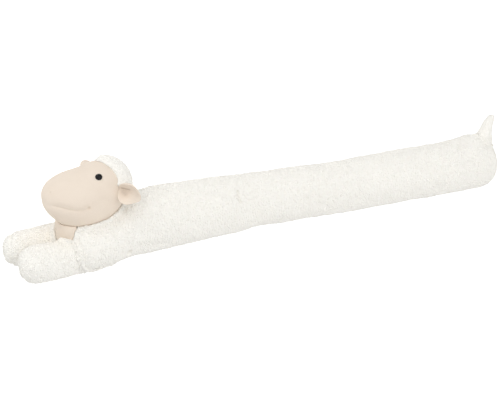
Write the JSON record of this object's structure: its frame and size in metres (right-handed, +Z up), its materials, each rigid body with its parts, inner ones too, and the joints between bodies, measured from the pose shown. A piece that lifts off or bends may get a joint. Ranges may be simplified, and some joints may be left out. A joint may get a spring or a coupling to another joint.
{
  "type": "draught excluder",
  "caption": "Draught excluder shaped like a lying sheep: a long stuffed fleece bolster with a cloth head, ears, front legs and a small tail, laid along the foot of a door.",
  "frame": {"origin": "on the floor, under the middle of the whole sheep", "axes": "+X from the nose to the tail, +Y to the far side from the ear that is folded back, +Z up"},
  "size_m": [0.912, 0.1654, 0.1736],
  "materials": {
    "fleece": "short curled off-white fleece pile",
    "face_cloth": "soft brushed beige cloth",
    "eye_bead": "glossy black bead"
  },
  "bodies": {
    "root": {"body": "fleece", "leg_near": "fleece", "leg_far": "fleece", "neck": "face_cloth", "head": "face_cloth", "cap": "fleece", "ear_near": "face_cloth", "ear_far": "face_cloth", "eye_near": "eye_bead", "eye_far": "eye_bead", "tail": "fleece"}
  },
  "joints": []
}
